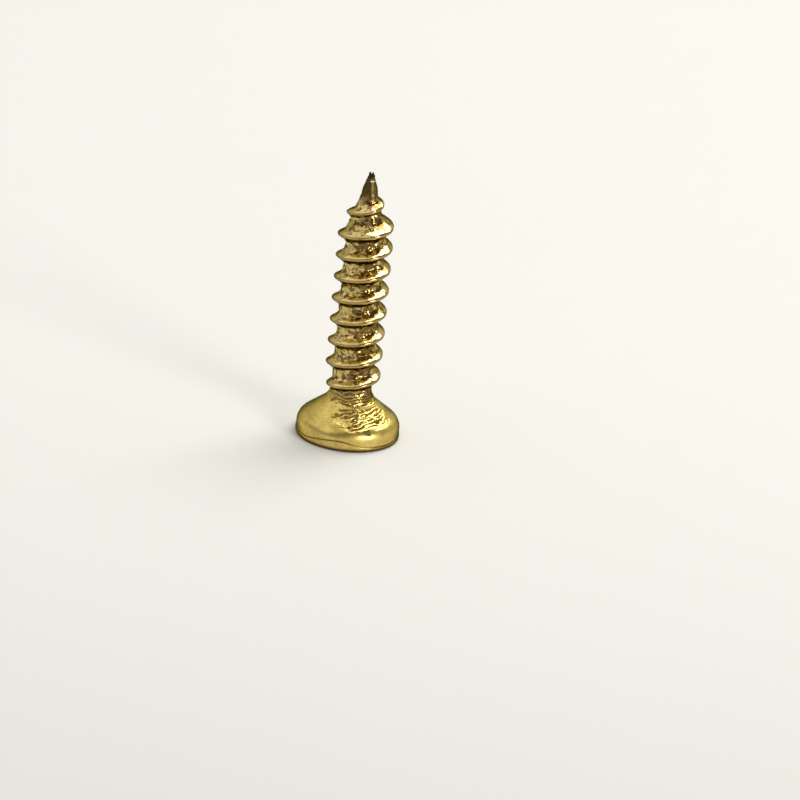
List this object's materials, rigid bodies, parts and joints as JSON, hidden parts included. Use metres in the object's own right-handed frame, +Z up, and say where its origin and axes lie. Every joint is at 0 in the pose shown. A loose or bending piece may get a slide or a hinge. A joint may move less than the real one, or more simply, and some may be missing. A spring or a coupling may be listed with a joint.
{
  "type": "self-tapping screw",
  "caption": "Small brass-finished self-tapping screw with a flat countersunk head, cross recess and coarse thread to a sharp point.",
  "frame": {"origin": "centre of the flat face of the head, which the screw stands on", "axes": "+Z up the shank from the flat face to the point; the recess wings lie along X and Y"},
  "size_m": [0.006, 0.006, 0.016],
  "materials": {
    "brass_finish": "polished brass plating, satin on the flat face, darker in the thread and the recess"
  },
  "bodies": {
    "root": {"screw": "brass_finish"}
  },
  "joints": []
}
